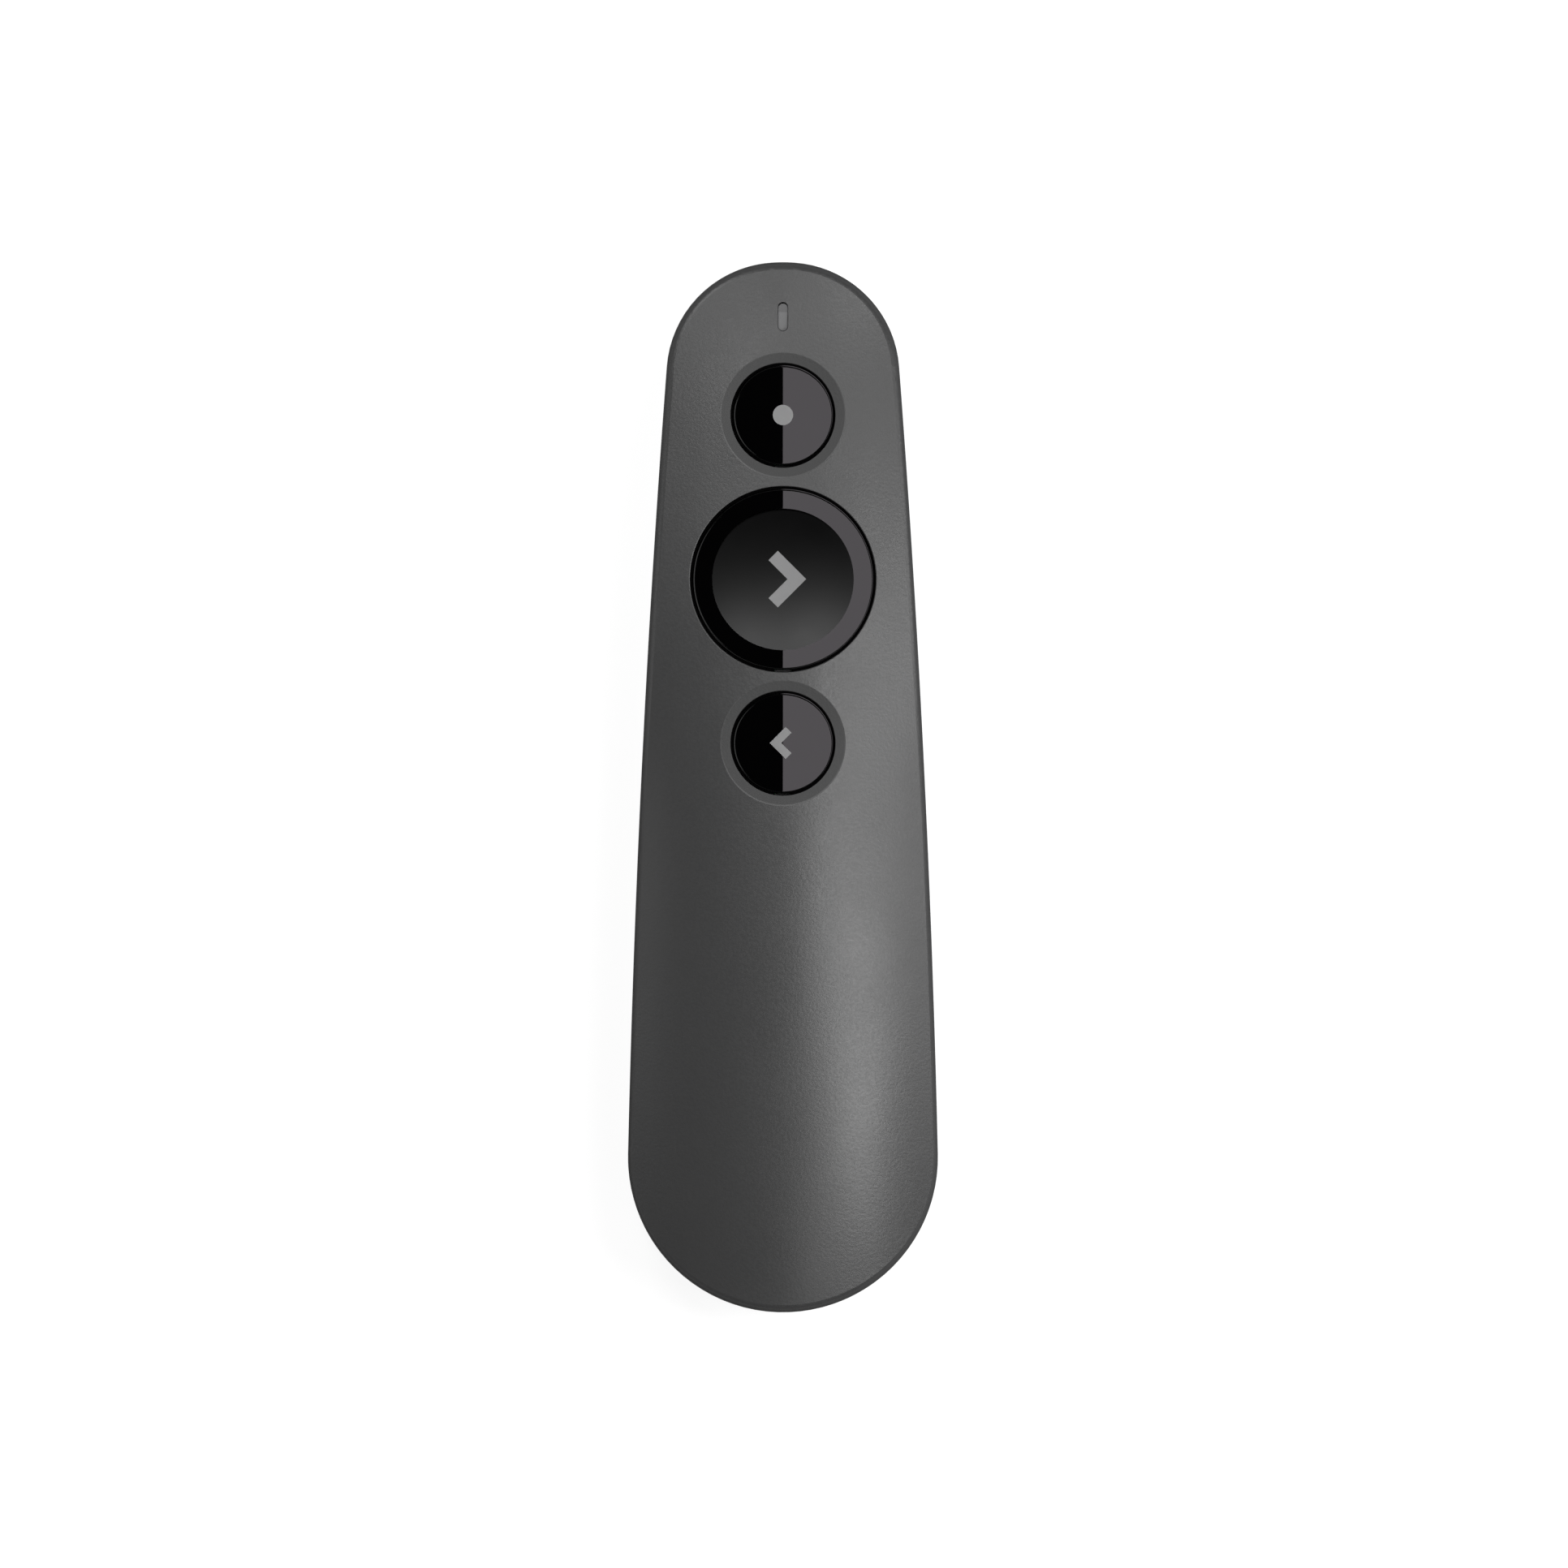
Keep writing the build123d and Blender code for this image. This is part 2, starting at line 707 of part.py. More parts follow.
def led_light_pipe():
    """The clear pin that carries the indicator's light up through the slot."""
    top = crest_z(led_y)
    bottom = board_top_z + led_height + touch_gap
    flange_end = led_y + led_slot_length / 2 + pipe_flange
    shoulder = crest_z(flange_end) - wall - crown_drop(led_slot_width, led_y) - 2 * touch_gap
    wide = led_slot_width - 2 * pipe_clearance
    long = led_slot_length - pipe_clearance - pipe_nose_gap
    middle_y = led_y - (pipe_nose_gap - pipe_clearance) / 2
    pipe = slot_prism(long, wide, bottom, top - pipe_recess, middle_y)
    long, wide = (side + 2 * pipe_flange for side in (led_slot_length - 2 * pipe_clearance, wide))
    return pipe + slot_prism(long, wide, shoulder - pipe_flange_thickness, shoulder, led_y)


# ---------------------------------------------------------------- laser
def laser_barrel():
    """The brass tube that holds the diode and the lens, with a clear way out at its nose."""
    tail = barrel_nose_y - barrel_length
    tube = rod_along_y(barrel_radius, tail, barrel_nose_y, 0, laser_z)
    tube -= rod_along_y(barrel_bore, tail - 1, barrel_nose_y - 1.0, 0, laser_z)
    return tube - rod_along_y(aperture_radius, tail, barrel_nose_y + 1, 0, laser_z)


def laser_lens():
    front = barrel_nose_y - 1.0 - touch_gap
    lens = rod_along_y(barrel_bore - fit_clearance, front - lens_thickness, front, 0, laser_z)
    bulge = Pos(0, front - lens_thickness - 0.2 + lens_curve, laser_z) * Sphere(lens_curve)
    return lens & bulge


def laser_diode():
    """The diode's can with its wider base, pressed into the tail of the barrel."""
    tail = barrel_nose_y - barrel_length
    base = rod_along_y(barrel_bore - fit_clearance, tail, tail + 1.0, 0, laser_z)
    return base + rod_along_y(1.6, tail, tail + diode_length, 0, laser_z)


def laser_board_span():
    front = barrel_nose_y - barrel_length - touch_gap
    return front - laser_board_thickness, front


def laser_board():
    return rod_along_y(2.7, *laser_board_span(), 0, laser_z)


def laser_leads():
    """Two wires from the laser's little board, bent up to the main board."""
    leads = []
    start_y = laser_board_span()[0] - touch_gap
    for x in (-1.2, 1.2):
        bend_y = start_y - 0.6
        run = rod_along_y(lead_radius, bend_y, start_y, x, laser_z)
        section = Pos(x, bend_y, laser_z) * (Plane.XZ * Circle(lead_radius))
        bend = revolve(section, Axis((x, bend_y, laser_z + lead_bend), (1, 0, 0)), -90)
        rise = rod(lead_radius, laser_z + lead_bend, board_z - touch_gap, x, bend_y - lead_bend)
        leads.append(run + bend + rise)
    return Compound(children=leads)


def laser_window():
    """The clear disc behind the opening in the nose."""
    outer = nose_y - window_step - fit_clearance
    return rod_along_y(window_radius, outer - window_thickness, outer, 0, laser_z)


# ---------------------------------------------------------------- cells and contacts
def cell(x, nub_y, way):
    """One AAA cell with its nub at nub_y; way is +1 when the nub points to the nose."""
    shoulder = nub_y - way * nub_height
    flat = nub_y - way * cell_length
    can = rod_along_y(cell_radius, *sorted((shoulder, flat)), x, cell_z)
    can = fillet(can.edges(), 0.4)
    return can + rod_along_y(nub_radius, *sorted((shoulder - way, nub_y)), x, cell_z)


cell_nose_nub_y = bay_nose_y - contact_thickness - dimple_height - 2 * touch_gap
cell_tail_nub_y = bay_tail_y + contact_thickness + dimple_height + 2 * touch_gap


def contact_plate(x_span, wall_y, way):
    """A sheet contact against an end wall of the bay; way points into the bay."""
    near = wall_y + way * touch_gap
    y_span = sorted((near, near + way * contact_thickness))
    return block(x_span, y_span, (cell_z - contact_height / 2, cell_z + contact_height / 2))


def dimple(x, wall_y, way):
    near = wall_y + way * (touch_gap + contact_thickness)
    return rod_along_y(dimple_radius, *sorted((near - way * 0.2, near + way * dimple_height)), x, cell_z)


def strip(x):
    """The strip that joins a contact to the main board."""
    half = strip_width / 2
    y_span = (bay_nose_y - touch_gap - contact_thickness, bay_nose_y - touch_gap)
    return block((x - half, x + half), y_span, (cell_z, board_z - touch_gap))


def spans_at(x):
    return (x - contact_width / 2, x + contact_width / 2)


def positive_contact():
    plate = contact_plate(spans_at(-cell_x), bay_nose_y, -1)
    return plate + dimple(-cell_x, bay_nose_y, -1) + strip(-cell_x)


def negative_contact():
    return contact_plate(spans_at(cell_x), bay_nose_y, -1) + strip(cell_x)


def bridge_contact():
    """The plate at the tail that joins the two cells."""
    span = (-cell_x - contact_width / 2, cell_x + contact_width / 2)
    return contact_plate(span, bay_tail_y, 1) + dimple(cell_x, bay_tail_y, 1)


def coil_spring(x, base_y, way):
    """A conical spring of tilted half turns, from a contact plate out to a cell's flat end."""
    turns = spring_half_turns
    rise = (spring_length - 2 * spring_wire - touch_gap) / turns
    start_y = base_y + way * (spring_wire + touch_gap)
    radii = [
        spring_start_radius + (spring_end_radius - spring_start_radius) * i / turns
        for i in range(turns + 1)
    ]
    spring = None
    for i in range(turns):
        side = 1 if i % 2 == 0 else -1
        start = Vector(x + side * radii[i], start_y + way * rise * i, cell_z)
        end = Vector(x - side * radii[i + 1], start_y + way * rise * (i + 1), cell_z)
        middle = (start + end) * 0.5
        chord = (end - start).normalized()
        axis = Axis(middle, chord.cross(Vector(0, 0, side)))
        section = Plane(start, x_dir=chord, z_dir=(0, 0, 1)) * Circle(spring_wire)
        turn = revolve(section, axis, 180)
        spring = turn if spring is None else spring + turn
    return spring


def negative_spring():
    return coil_spring(cell_x, bay_nose_y - touch_gap - contact_thickness, -1)


def bridge_spring():
    return coil_spring(-cell_x, bay_tail_y + touch_gap + contact_thickness, 1)


# ---------------------------------------------------------------- screws
def screw(x, y, seat, shank):
    """A pan-head screw driven upwards, with a cross recess in its head."""
    low = seat - screw_head_height
    body = rod(screw_head_radius, low, seat, x, y)
    body = fillet(body.edges().sort_by(Axis.Z)[:1], 0.4)
    body += rod(screw_radius, low + 0.2, seat + shank, x, y)
    for turn in (0, 90):
        body -= Pos(x, y, low) * Rot(0, 0, turn) * Box(2.0, 0.4, 1.2)
    return body


def case_screws():
    spots = mirrored(case_screw_spots)
    seat = case_screw_seat_z - touch_gap
    return Compound(children=[screw(x, y, seat, case_screw_length) for x, y in spots])


def board_screws():
    spots = mirrored(board_screw_spots)
    return Compound(children=[screw(x, y, board_z - touch_gap, board_screw_length) for x, y in spots])


# ---------------------------------------------------------------- receiver
def receiver_housing():
    """The receiver's moulded head with a fingernail groove, and the collar that grips the plug."""
    half_x, half_z = head_width / 2, head_height / 2
    joint_y = head_end_y + head_length
    head = block((-half_x, half_x), (head_end_y, joint_y), (dock_z - half_z, dock_z + half_z))
    head = fillet(head.edges().filter_by(Axis.Y), head_round)
    head = fillet(head.faces().sort_by(Axis.Y)[0].edges(), head_round / 2)
    head -= block((-4, 4), (head_end_y - 1, head_end_y + 0.8), (dock_z + 0.6, dock_z + 1.5))
    return head - plug_block(2.0, -fit_clearance)


def plug_block(sunk, inset):
    """The plug's outer block, sunk into the head by that much."""
    half_x, half_z = plug_width / 2 - inset, plug_height / 2 - inset
    y_span = (head_end_y + head_length - sunk, plug_end_y - max(0.0, inset - plug_skin))
    return block((-half_x, half_x), y_span, (dock_z - half_z, dock_z + half_z))


def receiver_plug_shell():
    """The plug's metal sleeve, with the two square windows of its upper face."""
    sleeve = plug_block(1.9, 0.0) - plug_block(5.0, plug_skin) - block(
        (-plug_width / 2 + plug_skin, plug_width / 2 - plug_skin),
        (plug_end_y - 5, plug_end_y + 5),
        (dock_z - plug_height / 2 + plug_skin, dock_z + plug_height / 2 - plug_skin),
    )
    for x in (-2.6, 2.6):
        sleeve -= block((x - 1.2, x + 1.2), (plug_end_y - 7, plug_end_y - 4.6), (dock_z, far))
    return sleeve


def receiver_board():
    """The board that fills the lower part of the plug."""
    half = plug_width / 2 - plug_skin - fit_clearance
    low = dock_z - plug_height / 2 + plug_skin + fit_clearance
    span = (head_end_y + head_length - 1.8, plug_end_y - 0.2)
    return block((-half, half), span, (low, low + 1.6))


def receiver_contacts():
    """The four gold pads of the plug."""
    low = dock_z - plug_height / 2 + plug_skin + fit_clearance + 1.6
    pads = []
    for x, size in ((-3.5, 7.0), (-1.0, 6.2), (1.0, 6.2), (3.5, 7.0)):
        pads.append(block((x - 0.5, x + 0.5), (plug_end_y - size - 0.8, plug_end_y - 0.8), (low, low + 0.1)))
    return Compound(children=pads)


# ---------------------------------------------------------------- build
parts = {
    "top_shell": top_shell(),
    "bottom_shell": bottom_shell(),
    "battery_door": battery_door(),
    "door_latch": door_latch(),
    "laser_window": laser_window(),
    "led_light_pipe": led_light_pipe(),
    "status_led": on_board(0, led_y, 0.8, 1.6, led_height),
    "laser_button": button("laser"),
    "next_button": button("next"),
    "next_button_pad": next_button_pad(),
    "back_button": button("back"),
    "laser_plunger": plunger("laser"),
    "next_plunger": plunger("next"),
    "back_plunger": plunger("back"),
    "laser_switch": switch("laser"),
    "next_switch": switch("next"),
    "back_switch": switch("back"),
    "switch_covers": switch_covers(),
    "main_board": main_board(),
    "radio_chip": on_board(3.5, back_button_y - chip_behind, 5.0, 5.0, 0.9),
    "clock_crystal": on_board(-2.5, back_button_y - chip_behind, 3.2, 2.5, 0.7),
    "chip_antenna": on_board(4.0, board_tail_y + antenna_ahead, 7.0, 2.0, 0.8),
    "boost_inductor": boost_inductor(),
    "board_passives": board_passives(),
    "laser_barrel": laser_barrel(),
    "laser_lens": laser_lens(),
    "laser_diode": laser_diode(),
    "laser_board": laser_board(),
    "laser_leads": laser_leads(),
    "battery_left": cell(-cell_x, cell_nose_nub_y, 1),
    "battery_right": cell(cell_x, cell_tail_nub_y, -1),
    "positive_contact": positive_contact(),
    "negative_contact": negative_contact(),
    "negative_spring": negative_spring(),
    "bridge_contact": bridge_contact(),
    "bridge_spring": bridge_spring(),
    "case_screws": case_screws(),
    "board_screws": board_screws(),
    "receiver_housing": receiver_housing(),
    "receiver_plug_shell": receiver_plug_shell(),
    "receiver_board": receiver_board(),
    "receiver_contacts": receiver_contacts(),
}

os.makedirs("parts", exist_ok=True)
for name, solid in parts.items():
    export_step(solid, f"parts/{name}.step")
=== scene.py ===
import math
import bpy
import bmesh
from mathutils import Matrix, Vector


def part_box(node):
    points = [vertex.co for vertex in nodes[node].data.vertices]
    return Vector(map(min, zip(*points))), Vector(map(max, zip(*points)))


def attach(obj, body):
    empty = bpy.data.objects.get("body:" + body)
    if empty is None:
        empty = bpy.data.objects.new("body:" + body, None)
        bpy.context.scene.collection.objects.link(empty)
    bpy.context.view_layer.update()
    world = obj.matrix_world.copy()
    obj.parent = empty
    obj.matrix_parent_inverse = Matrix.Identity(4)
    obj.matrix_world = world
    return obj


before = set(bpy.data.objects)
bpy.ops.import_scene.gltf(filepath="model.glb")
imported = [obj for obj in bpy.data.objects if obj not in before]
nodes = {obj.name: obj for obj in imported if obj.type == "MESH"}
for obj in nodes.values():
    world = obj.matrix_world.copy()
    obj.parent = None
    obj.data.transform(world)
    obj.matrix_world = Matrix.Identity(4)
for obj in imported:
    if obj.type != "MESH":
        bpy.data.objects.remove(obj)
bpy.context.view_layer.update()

# ---------------------------------------------------------------- camera
# It looks straight down on the buttons from far away, with the nose up, so that nothing
# converges.
view_width = 0.19604
view_middle = (0.00013, 0.00041)
camera_height = 0.6
scene = bpy.context.scene
scene.view_settings.view_transform = "Standard"
lens = bpy.data.cameras.new("camera")
lens.type = "ORTHO"
lens.ortho_scale = view_width
lens.clip_end = 10.0
camera = bpy.data.objects.new("camera", lens)
camera.location = (*view_middle, camera_height)
scene.collection.objects.link(camera)
scene.camera = camera

# ---------------------------------------------------------------- case
# Injection-moulded black plastic, sprayed outside with a dark grey soft-touch coat: matt, very
# finely grained, and duller where hands have been. In the sunk rings round the small buttons it
# is duller, and painted darker there as painted shade. Down in the holes it is painted black:
# partly the bare black plastic of their walls, partly painted shade of the gaps.
mm = 0.001


def group(name, inputs, outputs):
    """A shader node group with number inputs {name: default} and outputs {name: socket type}."""
    tree = bpy.data.node_groups.new(name, "ShaderNodeTree")
    for label, value in inputs.items():
        socket = tree.interface.new_socket(label, in_out="INPUT", socket_type="NodeSocketFloat")
        socket.default_value = value
    for label, kind in outputs.items():
        tree.interface.new_socket(label, in_out="OUTPUT", socket_type=kind)
    return tree, tree.nodes.new("NodeGroupInput"), tree.nodes.new("NodeGroupOutput")


def node(tree, kind, **values):
    """A node of this kind. Values set its inputs, with _ for a space in the input's name."""
    made = tree.nodes.new("ShaderNode" + kind)
    for name, value in values.items():
        made.inputs[name.replace("_", " ")].default_value = value
    return made


def calculate(tree, operation, first, second):
    """A Math node. Each operand is a number or an output to link."""
    made = node(tree, "Math")
    made.operation = operation
    for socket, operand in zip(made.inputs, (first, second)):
        if isinstance(operand, bpy.types.NodeSocket):
            tree.links.new(operand, socket)
        else:
            socket.default_value = operand
    return made.outputs["Value"]


def mixed(tree, factor, first, second):
    """The colour between two colours. Each is three numbers or an output to link."""
    made = node(tree, "Mix")
    made.data_type = "RGBA"
    tree.links.new(factor, made.inputs["Factor"])
    for label, colour in (("A", first), ("B", second)):
        if isinstance(colour, bpy.types.NodeSocket):
            tree.links.new(colour, made.inputs[label])
        else:
            made.inputs[label].default_value = (*colour, 1)
    return made.outputs["Result"]


grain, given, out = group(
    "fine_grain",
    {"Scale": 5000.0, "Depth": 0.004 * mm},
    {"Normal": "NodeSocketVector", "Height": "NodeSocketFloat"},
)
place = node(grain, "TexCoord")
noise = node(grain, "TexNoise", Detail=2.0, Roughness=0.6)
grain_floor = 0.36
grain_top = 0.64
even = node(grain, "Clamp", Min=grain_floor, Max=grain_top)
bump = node(grain, "Bump")
grain.links.new(place.outputs["Object"], noise.inputs["Vector"])
grain.links.new(given.outputs["Scale"], noise.inputs["Scale"])
grain.links.new(noise.outputs["Fac"], even.inputs["Value"])
grain.links.new(given.outputs["Depth"], bump.inputs["Distance"])
grain.links.new(even.outputs["Result"], bump.inputs["Height"])
grain.links.new(bump.outputs["Normal"], out.inputs["Normal"])
grain.links.new(even.outputs["Result"], out.inputs["Height"])

patches, given, out = group(
    "handling_patches", {"Scale": 90.0, "Low": 0.4, "High": 0.5}, {"Value": "NodeSocketFloat"}
)
place = node(patches, "TexCoord")
noise = node(patches, "TexNoise", Detail=4.0)
spread = node(patches, "MapRange", From_Min=0.3, From_Max=0.7)
patches.links.new(place.outputs["Object"], noise.inputs["Vector"])
patches.links.new(given.outputs["Scale"], noise.inputs["Scale"])
patches.links.new(noise.outputs["Fac"], spread.inputs["Value"])
patches.links.new(given.outputs["Low"], spread.inputs["To Min"])
patches.links.new(given.outputs["High"], spread.inputs["To Max"])
patches.links.new(spread.outputs["Result"], out.inputs["Value"])


def finish(
    name, colour, rough, metal=0.0, grain_size=0.2, depth=0.003, vary=0.06, speckle=0.0
):
    """A surface with fine grain (its size and depth in mm), a roughness that drifts from low to
    high and follows the grain by speckle, and a colour that varies with it by this share."""
    made = bpy.data.materials.new(name)
    made.use_nodes = True
    tree = made.node_tree
    shader = tree.nodes["Principled BSDF"]
    shader.inputs["Metallic"].default_value = metal
    fine = node(tree, "Group")
    fine.node_tree = grain
    fine.inputs["Scale"].default_value = 1 / (grain_size * mm)
    fine.inputs["Depth"].default_value = depth * mm
    drift = node(tree, "Group")
    drift.node_tree = patches
    drift.inputs["Low"].default_value = rough[0]
    drift.inputs["High"].default_value = rough[1]
    darker = [c * (1 - vary) for c in colour]
    lighter = [c * (1 + vary) for c in colour]
    shade = mixed(tree, fine.outputs["Height"], darker, lighter)
    tree.links.new(shade, shader.inputs["Base Color"])
    high_spots = calculate(tree, "SUBTRACT", fine.outputs["Height"], 0.5)
    rise = calculate(tree, "MULTIPLY", high_spots, speckle)
    roughness = calculate(tree, "ADD", drift.outputs["Value"], rise)
    tree.links.new(roughness, shader.inputs["Roughness"])
    tree.links.new(fine.outputs["Normal"], shader.inputs["Normal"])
    return made


def recolour(material, mask, colour):
    """Puts another colour on the material where the mask is 1."""
    tree = material.node_tree
    target = tree.nodes["Principled BSDF"].inputs["Base Color"]
    tree.links.new(mixed(tree, mask, target.links[0].from_socket, colour), target)


def roughen(material, mask, rough):
    """Gives the material this roughness where the mask is 1."""
    tree = material.node_tree
    target = tree.nodes["Principled BSDF"].inputs["Roughness"]
    blend = node(tree, "Mix", B=rough)
    tree.links.new(mask, blend.inputs["Factor"])
    tree.links.new(target.links[0].from_socket, blend.inputs["A"])
    tree.links.new(blend.outputs["Result"], target)


def dress(material, *names):
    """Gives CAD nodes their material."""
    for name in names:
        nodes[name].data.materials.clear()
        nodes[name].data.materials.append(material)


def middle_of(name):
    low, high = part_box(name)
    return (low + high) / 2


def round_buttons(tree, small, large):
    """A mask that is 1 inside upright circles round the buttons: small for two, large for the one
    between them."""
    place = node(tree, "TexCoord").outputs["Object"]
    mask = 0.0
    for name, radius in (("laser", small), ("next", large), ("back", small)):
        middle = middle_of(name + "_button")
        flat = node(tree, "Mapping", Location=(-middle.x, -middle.y, 0), Scale=(1, 1, 0))
        reach = node(tree, "VectorMath")
        reach.operation = "LENGTH"
        tree.links.new(place, flat.inputs["Vector"])
        tree.links.new(flat.outputs["Vector"], reach.inputs[0])
        inside = calculate(tree, "LESS_THAN", reach.outputs["Value"], radius)
        mask = calculate(tree, "MAXIMUM", mask, inside)
    return mask


coat_grey = (0.060, 0.060, 0.0605)
coat_rough = (0.31, 0.35)
sunk_painted_shade_grey = (0.042, 0.042, 0.0423)
sunk_rough = 0.55
black_wall_and_shade = (0.003, 0.003, 0.003)
small_hole = 6.58 * mm
large_hole = 11.63 * mm
sunk_ring = 7.72 * mm
coat_grain = {"grain_size": 0.38, "depth": 0.02, "vary": 0.06, "speckle": 0.2}
coat = finish("soft_touch_coat", coat_grey, coat_rough, **coat_grain)
dress(coat, "bottom_shell", "battery_door", "door_latch")
holed_coat = finish("holed_coat", coat_grey, coat_rough, **coat_grain)
# Painted shade: the sunk rings are coloured a darker grey, and they are also made rougher.
sunk_shade_and_dull = round_buttons(holed_coat.node_tree, sunk_ring, 0.0)
recolour(holed_coat, sunk_shade_and_dull, sunk_painted_shade_grey)
roughen(holed_coat, sunk_shade_and_dull, sunk_rough)
# Painted shade: the hole walls are coloured black, for the bare black plastic and the gaps' shade.
recolour(holed_coat, round_buttons(holed_coat.node_tree, small_hole, large_hole), black_wall_and_shade)
dress(holed_coat, "top_shell")

# ---------------------------------------------------------------- main board and what it carries
# Glass-epoxy board under a green solder mask, with copper tracks that show through it as
# lighter lines. On it sit a black radio chip, a can-shaped crystal, ceramic parts, a black
# inductor and a small clear diode.
track_pitch = 1.7 * mm
track_width = 0.07
track_length = 2.3
mask_green = (0.006, 0.075, 0.028)
track_green = (0.02, 0.16, 0.05)
board = finish("green_board", mask_green, (0.24, 0.32), grain_size=1.2, depth=0.001)
tree = board.node_tree
place = node(tree, "TexCoord")
tracks = node(
    tree, "TexBrick", Scale=1 / track_pitch, Mortar_Size=track_width, Brick_Width=track_length
)
tree.links.new(place.outputs["Object"], tracks.inputs["Vector"])
recolour(board, tracks.outputs["Fac"], track_green)
dress(board, "main_board", "laser_board")
epoxy = finish("chip_epoxy", (0.014, 0.014, 0.015), (0.45, 0.6), grain_size=0.06, depth=0.004)
dress(epoxy, "radio_chip", "boost_inductor")
fired = finish("fired_ceramic", (0.62, 0.6, 0.55), (0.4, 0.6), grain_size=0.08, vary=0.12)
dress(fired, "chip_antenna", "board_passives")
resin = finish("diode_resin", (0.72, 0.7, 0.3), (0.1, 0.2), grain_size=0.4, depth=0.001)
dress(resin, "status_led")

# ---------------------------------------------------------------- switches and their stems
# Tactile switches with a moulded black body and a pressed steel cover. Their stems are turned
# from a stiff natural-coloured plastic.
moulded = finish("black_moulding", (0.018, 0.018, 0.019), (0.35, 0.5), grain_size=0.15)
dress(moulded, "laser_switch", "next_switch", "back_switch")
natural = finish("natural_plastic", (0.52, 0.46, 0.3), (0.3, 0.42), grain_size=0.3, vary=0.04)
dress(natural, "laser_plunger", "next_plunger", "back_plunger")

brushed, given, out = group(
    "rolling_lines",
    {"Across": 9000.0, "Along": 400.0, "Low": 0.22, "High": 0.42},
    {"Value": "NodeSocketFloat", "Lines": "NodeSocketFloat"},
)
place = node(brushed, "TexCoord")
stretch = node(brushed, "CombineXYZ")
drawn_out = node(brushed, "Mapping")
noise = node(brushed, "TexNoise", Scale=1.0, Detail=3.0)
spread = node(brushed, "MapRange", From_Min=0.3, From_Max=0.7)
for label, axis in (("Across", "X"), ("Along", "Y"), ("Across", "Z")):
    brushed.links.new(given.outputs[label], stretch.inputs[axis])
brushed.links.new(place.outputs["Object"], drawn_out.inputs["Vector"])
brushed.links.new(stretch.outputs["Vector"], drawn_out.inputs["Scale"])
brushed.links.new(drawn_out.outputs["Vector"], noise.inputs["Vector"])
brushed.links.new(noise.outputs["Fac"], spread.inputs["Value"])
brushed.links.new(given.outputs["Low"], spread.inputs["To Min"])
brushed.links.new(given.outputs["High"], spread.inputs["To Max"])
brushed.links.new(spread.outputs["Result"], out.inputs["Value"])
brushed.links.new(noise.outputs["Fac"], out.inputs["Lines"])


line_strength = 0.25
line_shade = 0.6


def rolled(name, colour, low, high):
    """Rolled sheet metal, with faint lines along Y in its shine and its shade."""
    made = finish(name, colour, (low, high), metal=1.0, grain_size=0.3, depth=0.0008, vary=0.05)
    tree = made.node_tree
    lines = node(tree, "Group")
    lines.node_tree = brushed
    lines.inputs["Low"].default_value = low
    lines.inputs["High"].default_value = high
    tree.links.new(lines.outputs["Value"], tree.nodes["Principled BSDF"].inputs["Roughness"])
    faint = calculate(tree, "MULTIPLY", lines.outputs["Lines"], line_strength)
    recolour(made, faint, [c * line_shade for c in colour])
    return made


steel = rolled("sheet_steel", (0.56, 0.56, 0.57), 0.22, 0.42)
dress(steel, "switch_covers", "clock_crystal")

# ---------------------------------------------------------------- screws
# Zinc-plated steel screws with turned heads. Four are driven up from below, through wells in the
# lower half, and close the case, and four small ones hold the main board.
zinc_grey = (0.6, 0.61, 0.64)
zinc = finish("zinc_plate", zinc_grey, (0.25, 0.38), metal=1.0, grain_size=0.25, depth=0.001)
dress(zinc, "case_screws", "board_screws")

# ---------------------------------------------------------------- laser module and its window
# A turned brass barrel with a gold-capped diode and a small board behind, two red wires, and a
# moulded lens. In front, a polished clear disc closes the case.
brass_yellow = (0.68, 0.49, 0.2)
gold_yellow = (0.85, 0.62, 0.25)
wire_red = (0.42, 0.018, 0.014)
lens_clear = (0.92, 0.93, 0.95)
brass = finish("turned_brass", brass_yellow, (0.16, 0.3), metal=1.0, grain_size=0.3, depth=0.001)
dress(brass, "laser_barrel")
gold = finish("gold_plate", gold_yellow, (0.14, 0.24), metal=1.0, grain_size=0.3, depth=0.0005)
dress(gold, "laser_diode")
insulation = finish("red_insulation", wire_red, (0.3, 0.42), grain_size=0.2)
dress(insulation, "laser_leads")
clear = finish("clear_plastic", lens_clear, (0.02, 0.05), grain_size=2.0, depth=0.0001)
clear.node_tree.nodes["Principled BSDF"].inputs["Transmission Weight"].default_value = 1.0
dress(clear, "laser_window", "laser_lens")

